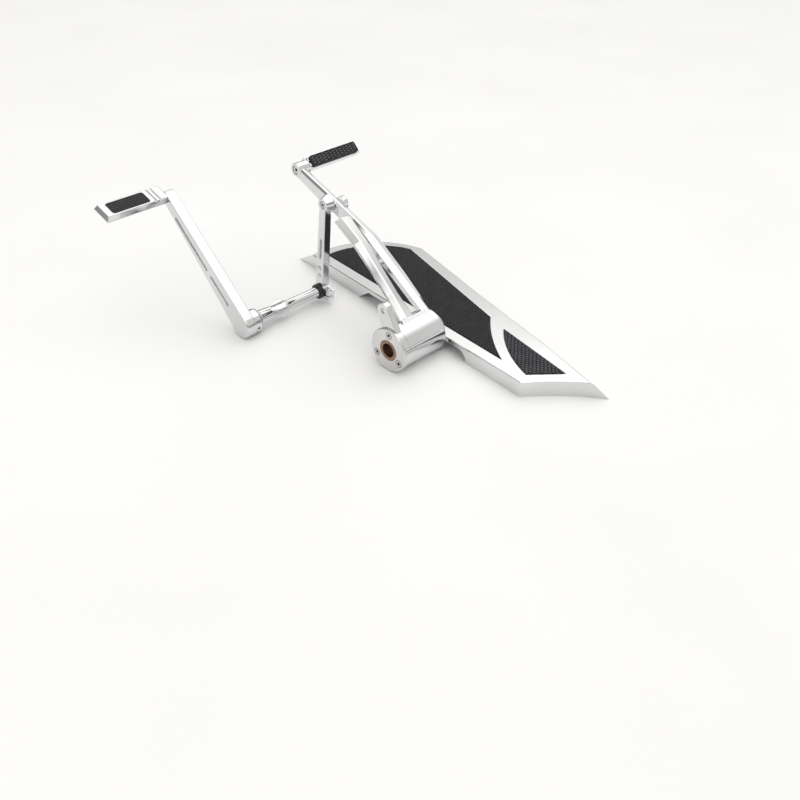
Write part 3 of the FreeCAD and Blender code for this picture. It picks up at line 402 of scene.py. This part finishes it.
def treadPad(name, node, body, look):
    plane = facePlane(node)
    outline = roundCorners(plane["outline"], look["corner"])
    top, low = plane["top"], plane["low"]
    floor = top - look["depth"]
    mesh = bmesh.new()

    def level(points, height):
        return onPlane(mesh, plane, points, height)

    r, rim = look["edge"], look["rim"]
    if rim:
        rings = [level(outline, low), level(outline, top - r)]
        for k in range(1, rimShape["steps"] + 1):
            turn = math.radians(90 * k / rimShape["steps"])
            rings.append(level(inset(outline, r * (1 - math.cos(turn))),
                               top - r + r * math.sin(turn)))
        rings.append(level(inset(outline, rim - rimShape["lip"]), top))
        rings.append(level(inset(outline, rim), top - rimShape["drop"]))
        rings.append(level(inset(outline, rim + rimShape["slope"]), floor))
        field = inset(outline, rim + rimShape["gap"])
    else:
        rings = [level(outline, low), level(outline, floor - r), level(inset(outline, r), floor)]
        field = inset(outline, rimShape["bareGap"])
    # material 1, the darker rubber, is painted shade on the sunk floor and the blocks' lower sides
    for lower, upper in zip(rings, rings[1:]):
        joinRings(mesh, lower, upper, int(upper is rings[-1]))
    mesh.faces.new(rings[-1]).material_index = 1
    mesh.faces.new(rings[0][::-1])
    sides = list(zip(field, field[1:] + field[:1]))
    count = 0
    # an optional lighter rubber on the block tops and upper sides is painted highlight
    crownHighlightFinish = 2 if "crown" in look else 0
    blocks = crossedBlocks if look["kind"] == "crossed" else steppedBlocks
    for block in blocks(field, look):
        centre = sum(block, Vector((0, 0))) / len(block)
        near = nearSides(sides, centre, look["pitch"] * blockShape["reach"])
        if not near and not inside(field, centre):
            continue
        block = clipBlock(block, near)
        if len(block) < 3 or signedArea(block) < look["least"]:
            continue
        if not inside(field, sum(block, Vector((0, 0))) / len(block)):
            continue
        bevel = look["bevel"]
        foot = level(block, floor - r)
        waist = level(inset(block, bevel * blockShape["waistIn"]),
                      top - bevel * blockShape["waistDown"])
        crown = level(inset(block, bevel * blockShape["crownIn"]), top)
        joinRings(mesh, foot, waist, 1)
        joinRings(mesh, waist, crown, crownHighlightFinish)
        mesh.faces.new(crown).material_index = crownHighlightFinish
        count += 1
    looks = [finishes["black_rubber"], stripAndGrooveShadeFinish] + ([look["crown"]] if crownHighlightFinish else [])
    piece = settle(mesh, name, body, looks)
    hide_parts(node)
    print("tread:", name, count, "blocks")
    return plane


# lighter rubber on the block tops and upper sides: painted highlight
rearCrownHighlight = {"light": (0.066, 0.066, 0.080), "dark": (0.038, 0.038, 0.047), "gloss": (0.42, 0.58)}
pedalCrownHighlight = {"light": (0.105, 0.105, 0.115), "dark": (0.06, 0.06, 0.068), "gloss": (0.4, 0.55)}
mainTread = {
    "kind": "crossed", "pitch": 3.1 * mm, "lean": 39, "groove": 0.85 * mm, "depth": 0.8 * mm,
    "bevel": 0.2 * mm, "edge": 0.3 * mm, "rim": 0, "corner": 2.0 * mm, "least": 0.5e-6,
}
rearTread = {
    "kind": "crossed", "pitch": 4.4 * mm, "lean": 39, "groove": 0.95 * mm, "depth": 0.8 * mm,
    "bevel": 0.3 * mm, "edge": 0.3 * mm, "rim": 0, "corner": 2.0 * mm, "least": 0.8e-6,
    "crown": makeRubber("rearCrownHighlightRubber", rearCrownHighlight),
}
pedalTread = {
    "kind": "stepped", "pitch": 6.05 * mm, "row": 3.4 * mm, "skew": 0.9 * mm,
    "groove": 1.1 * mm, "depth": 1.0 * mm, "bevel": 0.3 * mm, "edge": 0.5 * mm, "rim": 0.9 * mm,
    "corner": 3.4 * mm, "least": 1.2e-6, "crown": makeRubber("pedalCrownHighlightRubber", pedalCrownHighlight),
}
pegTread = {
    "kind": "crossed", "pitch": 3.6 * mm, "lean": 45, "groove": 0.7 * mm, "depth": 0.35 * mm,
    "bevel": 0.2 * mm, "edge": 0.5 * mm, "rim": 1.4 * mm, "corner": 1.0 * mm, "least": 1e-6,
}
treadPad("mainTread", "main_pad", "board", mainTread)
treadPad("rearTread", "rear_pad", "board", rearTread)
pedalPlane = treadPad("pedalTread", "brake_pad_rubber", "brake_pedal", pedalTread)
treadPad("pegTread", "toe_peg_rubber", "shift_control", pegTread)

# Strip between the brake pad's rubber and the lever, with its two bright pips
stripLook = {"gap": 0.5 * mm, "wide": 3.2 * mm, "side": 0.9 * mm, "high": 0.35 * mm,
             "pipWide": 2.2 * mm, "pipLong": 4.6 * mm, "pipApart": 7.4 * mm, "pipHigh": 1.2 * mm,
             "corner": 0.6 * mm, "edge": 0.15 * mm, "edgeStep": 0.3}


def slab(name, lowCorner, highCorner, low, high, slot):
    # a thin plate on the pad's plane, with rounded corners and a softened upper edge
    (x, y), (u, v) = lowCorner, highCorner
    corners = [Vector((x, y)), Vector((u, y)), Vector((u, v)), Vector((x, v))]
    outline = roundCorners(corners, stripLook["corner"])
    mesh = bmesh.new()
    edge = stripLook["edge"]
    step = edge * stripLook["edgeStep"]
    levels = ((0, low), (0, high - edge), (step, high - step), (edge, high))
    rings = [onPlane(mesh, pedalPlane, inset(outline, shrink), height) for shrink, height in levels]
    for lower, upper in zip(rings, rings[1:]):
        joinRings(mesh, lower, upper)
    mesh.faces.new(rings[-1])
    mesh.faces.new(rings[0][::-1])
    # the black strip takes the darker rubber that is painted shade in the tread grooves
    look = stripAndGrooveShadeFinish if slot == "black_rubber" else finishes[slot]
    settle(mesh, name, "brake_pedal", [look])


padSpan = pedalPlane["outline"]
stripEnd = min(p.x for p in padSpan) - stripLook["gap"]
stripLow = min(p.y for p in padSpan) + stripLook["side"]
stripHigh = max(p.y for p in padSpan) - stripLook["side"]
baseTop = max(v.co.dot(pedalPlane["up"]) for v in nodes["brake_pad_base"].data.vertices)
slab("pedalStrip", (stripEnd - stripLook["wide"], stripLow), (stripEnd, stripHigh),
     baseTop - stripLook["high"], baseTop + stripLook["high"], "black_rubber")
pipX = stripEnd - stripLook["wide"] / 2
halfX, halfY = stripLook["pipWide"] / 2, stripLook["pipLong"] / 2
for i, way in enumerate((-1, 1)):
    pipY = (stripLow + stripHigh) / 2 + way * stripLook["pipApart"] / 2
    slab(f"pedalPip{i + 1}", (pipX - halfX, pipY - halfY), (pipX + halfX, pipY + halfY),
         baseTop, baseTop + stripLook["pipHigh"], "polished_chrome")
print("strip: set with two pips")

# Hexagon sockets in the screw heads, with painted shade on each socket's walls and floor, and painted shade on the
# clearance round the hub's screws
headLook = {"ringDepth": 0.4 * mm, "sunk": 0.1 * mm, "points": 24}
faceScrew = {"body": "brake_pedal", "side": -1, "outer": 2.28 * mm, "across": 3.7 * mm,
             "depth": 1.2 * mm}
sockets = {
    "face_screw_1": faceScrew, "face_screw_2": faceScrew, "face_screw_3": faceScrew,
    "brake_pad_bolt": {"body": "brake_pedal", "side": -1, "outer": 2.58 * mm, "across": 3.8 * mm,
                       "depth": 2.4 * mm},
    "toe_peg_bolt": {"body": "shift_control", "side": 1, "outer": 2.18 * mm, "across": 3.0 * mm,
                     "depth": 1.6 * mm},
    "shift_rod_bolt": {"body": "shift_control", "side": -1, "outer": 2.18 * mm,
                       "across": 3.0 * mm, "depth": 1.2 * mm},
}
setScrew = {"along": -60.0 * mm, "radius": 15.6 * mm, "turn": -168, "proud": 0.15 * mm,
            "outer": 2.6 * mm, "across": 3.0 * mm, "depth": 0.12 * mm}
clearance = {"inner": 4.0 * mm, "outer": 4.95 * mm, "flat": 0.95}


def hexSocket(name, place, axis, body, look):
    side = axis.orthogonal().normalized()
    third = axis.cross(side)
    mesh = bmesh.new()
    turns = [2 * math.pi * k / headLook["points"] for k in range(headLook["points"])]

    def circle(radii, height):
        return [mesh.verts.new(place + side * (r * math.cos(t)) + third * (r * math.sin(t))
                               + axis * height) for r, t in zip(radii, turns)]

    sixth = math.pi / 3
    hexagon = [look["across"] / 2 / math.cos(t % sixth - sixth / 2) for t in turns]
    headEdge = [look["outer"]] * len(turns)
    foot = circle(headEdge, -headLook["ringDepth"])
    rim = circle(headEdge, 0)
    mouth = circle(hexagon, 0)
    floor = circle(hexagon, -look["depth"])
    joinRings(mesh, foot, rim)
    joinRings(mesh, rim, mouth)
    # painted shade on the socket's walls and floor
    joinRings(mesh, mouth, floor, 1)
    mesh.faces.new(floor).material_index = 1
    settle(mesh, name, body, [finishes["black_screw"], socketShadeFinish])


heads = {}
for node, look in sockets.items():
    low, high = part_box(node)
    middle = (low + high) / 2
    middle.x = high.x - headLook["sunk"] if look["side"] > 0 else low.x + headLook["sunk"]
    heads[node] = middle
    words = node.split("_")
    name = words[0] + "".join(w.title() for w in words[1:]) + "Socket"
    hexSocket(name, middle, Vector((look["side"], 0, 0)), look["body"], look)
faceHeads = [heads[node] for node in sockets if node.startswith("face")]


def besideScrew(face):
    # steep faces on the rim of a hub screw or on the wall round it, which get painted shade
    spread = min(math.hypot(face.center.y - h.y, face.center.z - h.z) for h in faceHeads)
    steep = abs(face.normal.x) < clearance["flat"]
    return clearance["inner"] < spread < clearance["outer"] and steep


# painted shade on the steep faces round the hub's screws
for node in ("hub_face_plate", "face_screw_1", "face_screw_2", "face_screw_3"):
    data = nodes[node].data
    data.materials.append(socketShadeFinish)
    for face in data.polygons:
        if besideScrew(face):
            face.material_index = 1
turn = math.radians(setScrew["turn"])
outward = Vector((0, math.cos(turn), math.sin(turn)))
hubPlace = jointPlace["shift_pivot"] + Vector((setScrew["along"], 0, 0))
hexSocket("toeSetScrew", hubPlace + outward * (setScrew["radius"] + setScrew["proud"]), outward,
          "shift_control", setScrew)
print("sockets:", len(sockets) + 1)

# Room: a pale floor and a bright sky with dark bands near the horizon
roomLook = {"floorSize": 60.0, "floorDark": 0.87, "floorLight": 0.90, "floorGloss": 0.85,
            "sky": 1.55, "skyHue": (1, 0.99, 0.97), "screenHue": (1, 1, 0.98), "backdrop": 0.95}
# height from straight down at 0 to straight up at 1, and brightness there
bands = ((0.0, 0.8), (0.484, 0.7), (0.486, 0.03), (0.54, 0.03), (0.55, 0.6), (0.58, 0.6),
         (0.59, 0.05), (0.63, 0.06), (0.675, 0.42), (0.74, 0.62), (0.775, 1.0), (0.88, 1.0),
         (1.0, 0.85))
# dark screens that draw the edges of polished metal: where, how wide and how bright
screens = (((-0.62, 0.62, 0.42), (0.62, 0.80), 0.20), ((0.62, -0.66, 0.40), (0.80, 0.95), 0.50),
           ((-0.93, 0.37, 0.03), (0.93, 0.985), 0.55))


def shade(level, hue):
    return (*(level * h for h in hue), 1)


world = bpy.data.worlds.new("softStudio")
bpy.context.scene.world = world
world.use_nodes = True
sky = world.node_tree
sky.nodes.clear()
aimNode = addNode(sky, "ShaderNodeTexCoord")
split = addNode(sky, "ShaderNodeSeparateXYZ")
ramp = addNode(sky, "ShaderNodeValToRGB")
back = addNode(sky, "ShaderNodeBackground", Strength=roomLook["sky"])
out = addNode(sky, "ShaderNodeOutputWorld")
lift = addNode(sky, "ShaderNodeMapRange")
lift.inputs["From Min"].default_value, lift.inputs["From Max"].default_value = -1, 1
sky.links.new(aimNode.outputs["Generated"], split.inputs["Vector"])
sky.links.new(split.outputs["Z"], lift.inputs["Value"])
sky.links.new(lift.outputs["Result"], ramp.inputs["Fac"])
while len(ramp.color_ramp.elements) < len(bands):
    ramp.color_ramp.elements.new(0.5)
for element, (position, level) in zip(ramp.color_ramp.elements, bands):
    element.position = position
    element.color = shade(level, roomLook["skyHue"])
skyColour = ramp.outputs["Color"]
for aim, span, level in screens:
    facing = addNode(sky, "ShaderNodeVectorMath", operation="DOT_PRODUCT")
    facing.inputs[1].default_value = aim
    sky.links.new(aimNode.outputs["Generated"], facing.inputs[0])
    reach = addNode(sky, "ShaderNodeMapRange")
    reach.inputs["From Min"].default_value, reach.inputs["From Max"].default_value = span
    sky.links.new(facing.outputs["Value"], reach.inputs["Value"])
    screen = addNode(sky, "ShaderNodeMixRGB", Color2=shade(level, roomLook["screenHue"]))
    sky.links.new(reach.outputs["Result"], screen.inputs["Fac"])
    sky.links.new(skyColour, screen.inputs["Color1"])
    skyColour = screen.outputs["Color"]
sky.links.new(skyColour, back.inputs["Color"])
# seen straight, the sky is a plain pale backdrop, and the bands light the object
plain = addNode(sky, "ShaderNodeBackground", Color=shade(roomLook["backdrop"], (1, 1, 1)))
path = addNode(sky, "ShaderNodeLightPath")
pick = addNode(sky, "ShaderNodeMixShader")
sky.links.new(path.outputs["Is Camera Ray"], pick.inputs[0])
sky.links.new(back.outputs["Background"], pick.inputs[1])
sky.links.new(plain.outputs["Background"], pick.inputs[2])
sky.links.new(pick.outputs["Shader"], out.inputs["Surface"])

floorMaterial, floorTree, floorShader = newMaterial("paleFloor")
floorShader.inputs["Roughness"].default_value = roomLook["floorGloss"]
floorTint = tint(floorTree, grain(floorTree, 3, 2), [roomLook["floorDark"]] * 3,
                 [roomLook["floorLight"]] * 3)
floorTree.links.new(floorTint, floorShader.inputs["Base Color"])
bpy.ops.mesh.primitive_plane_add(size=roomLook["floorSize"], location=(0, 0, 0))
floor = bpy.context.object
floor.name = "paleFloor"
floor.data.materials.append(floorMaterial)

# Soft boxes above and to the left
softBoxes = {
    "overheadBox": {"place": (0.3, -0.2, 1.7), "aim": (0, 0, 0), "size": (1.6, 1.6), "power": 3.0},
    "sideBox": {"place": (-1.4, 0.9, 1.0), "aim": (0, 0, 0.05), "size": (1.0, 0.8), "power": 1.5},
}
for name, box in softBoxes.items():
    light = bpy.data.lights.new(name, "AREA")
    light.shape = "RECTANGLE"
    light.size, light.size_y = box["size"]
    light.energy = box["power"]
    item = bpy.data.objects.new(name, light)
    bpy.context.scene.collection.objects.link(item)
    item.location = box["place"]
    way = Vector(box["aim"]) - Vector(box["place"])
    item.rotation_euler = way.to_track_quat("-Z", "Y").to_euler()

# Camera at the photo's angle
view = {"place": (-0.69197, -0.71400, 0.6105), "tilt": 54.712, "swing": -45.5, "lens": 41.43,
        "sensor": 36}
lens = bpy.data.cameras.new("photoCamera")
lens.lens = view["lens"]
lens.sensor_width = view["sensor"]
camera = bpy.data.objects.new("photoCamera", lens)
bpy.context.scene.collection.objects.link(camera)
camera.location = view["place"]
camera.rotation_euler = (math.radians(view["tilt"]), 0, math.radians(view["swing"]))
bpy.context.scene.camera = camera
bpy.context.scene.view_settings.view_transform = "Standard"
print("room: lit")
